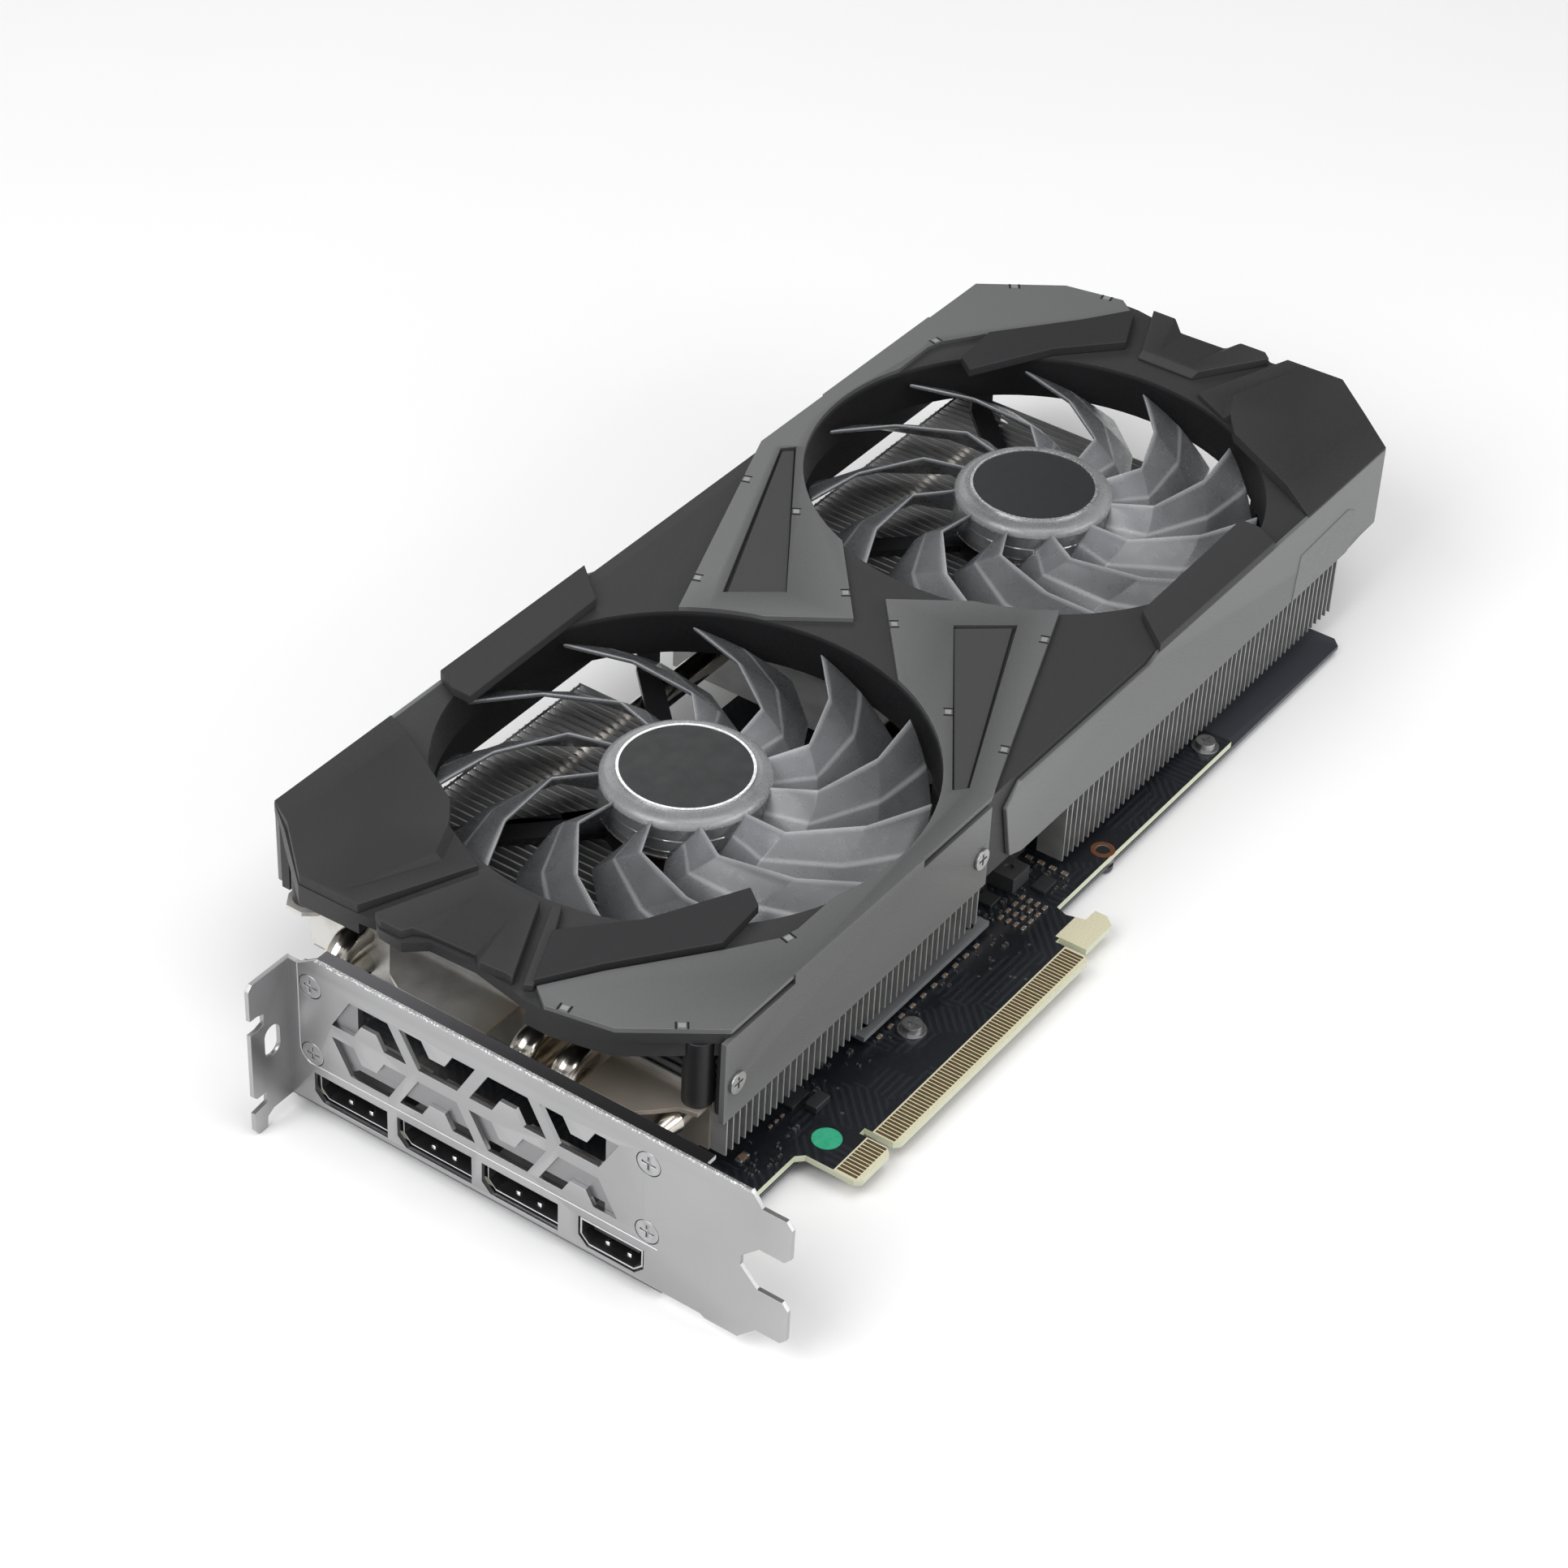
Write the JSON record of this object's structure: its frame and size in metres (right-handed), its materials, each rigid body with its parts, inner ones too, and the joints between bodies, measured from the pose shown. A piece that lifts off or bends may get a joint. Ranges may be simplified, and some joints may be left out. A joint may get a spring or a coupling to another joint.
{
  "type": "graphics card",
  "caption": "Graphics card with a faceted dark shroud, clear fan blades, long fin stacks, a slotted metal bracket and an edge connector.",
  "frame": {"origin": "key notch of the edge connector: notch centre along the card, finger tips, top (fan side) face of the board", "axes": "+X along the card from the bracket to the tail, +Y from the finger tips across the board, +Z from the board up to the fans"},
  "size_m": [0.3167, 0.1497, 0.0464],
  "materials": {
    "circuit_board": "black solder mask over glass fibre",
    "edge_contacts": "thin gold plating",
    "backplate": "dark satin paint",
    "backplate_spacers": "turned",
    "backplate_screws": "black oxide",
    "board_screws": "nickel plated",
    "io_bracket": "nickel plated sheet steel, fine satin",
    "bracket_stay": "plain sheet",
    "bracket_screws": "nickel plated",
    "displayport_shells": "tinned sheet",
    "displayport_inserts": "moulded",
    "hdmi_shell": "nickel plated sheet",
    "hdmi_insert": "moulded",
    "graphics_chip": "package with bare die",
    "memory_chips": "moulded package",
    "power_inductors": "pressed powder",
    "power_stages": "moulded package",
    "capacitors": "moulded package",
    "small_components": "ceramic with tinned ends",
    "power_socket": "moulded",
    "inspection_dot": "paper label",
    "thermal_pads": "soft silicone pad",
    "base_frame": "dark sheet",
    "cold_plate": "nickel plated",
    "heat_pipes": "nickel plated copper",
    "front_fins": "plain sheet",
    "rear_fins": "plain sheet",
    "fin_corner_plates": "nickel plated sheet",
    "shroud_body": "fine spark-eroded texture",
    "shroud_posts": "moulded",
    "corner_covers": "fine spark-eroded texture",
    "pointed_bars": "fine spark-eroded texture",
    "middle_plates": "fine spark-eroded texture",
    "edge_strips": "fine spark-eroded texture",
    "trim_sheets": "grey metallic paint, fine grain",
    "side_covers": "grey metallic paint, fine grain",
    "triangle_inserts": "fine spark-eroded texture",
    "panel_screws": "nickel plated",
    "fan_frames": "moulded",
    "fan_motor": "wound coils on a moulded former",
    "fan_rotor": "frosted clear plastic",
    "fan_shaft": "ground",
    "fan_badge": "printed film, plain",
    "badge_ring": "bright printed ring"
  },
  "bodies": {
    "card": {"circuit_board": "circuit_board", "edge_contacts": "edge_contacts", "backplate": "backplate", "backplate_spacers": "backplate_spacers", "backplate_screws": "backplate_screws", "board_screws": "board_screws", "io_bracket": "io_bracket", "bracket_stay": "bracket_stay", "bracket_screws": "bracket_screws", "displayport_shells": "displayport_shells", "displayport_inserts": "displayport_inserts", "hdmi_shell": "hdmi_shell", "hdmi_insert": "hdmi_insert", "graphics_chip": "graphics_chip", "memory_chips": "memory_chips", "power_inductors": "power_inductors", "power_stages": "power_stages", "capacitors": "capacitors", "small_components": "small_components", "power_socket": "power_socket", "inspection_dot": "inspection_dot", "thermal_pads": "thermal_pads", "base_frame": "base_frame", "cold_plate": "cold_plate", "heat_pipes": "heat_pipes", "front_fins": "front_fins", "rear_fins": "rear_fins", "fin_corner_plates": "fin_corner_plates", "shroud_body": "shroud_body", "shroud_posts": "shroud_posts", "corner_covers": "corner_covers", "pointed_bars": "pointed_bars", "middle_plates": "middle_plates", "edge_strips": "edge_strips", "trim_sheets": "trim_sheets", "side_covers": "side_covers", "triangle_inserts": "triangle_inserts", "panel_screws": "panel_screws", "fan_frames": "fan_frames", "front_fan_motor": "fan_motor", "rear_fan_motor": "fan_motor"},
    "front_fan": {"front_fan_rotor": "fan_rotor", "front_fan_shaft": "fan_shaft", "front_fan_badge": "fan_badge", "front_badge_ring": "badge_ring"},
    "rear_fan": {"rear_fan_rotor": "fan_rotor", "rear_fan_shaft": "fan_shaft", "rear_fan_badge": "fan_badge", "rear_badge_ring": "badge_ring"}
  },
  "joints": [
    {"name": "front_fan_spin", "type": "hinge", "parent": "card", "child": "front_fan", "pos_m": [0.0335, 0.077, 0.03], "axis": [0, 0, 1], "continuous": true},
    {"name": "rear_fan_spin", "type": "hinge", "parent": "card", "child": "rear_fan", "pos_m": [0.1665, 0.077, 0.03], "axis": [0, 0, 1], "continuous": true}
  ]
}
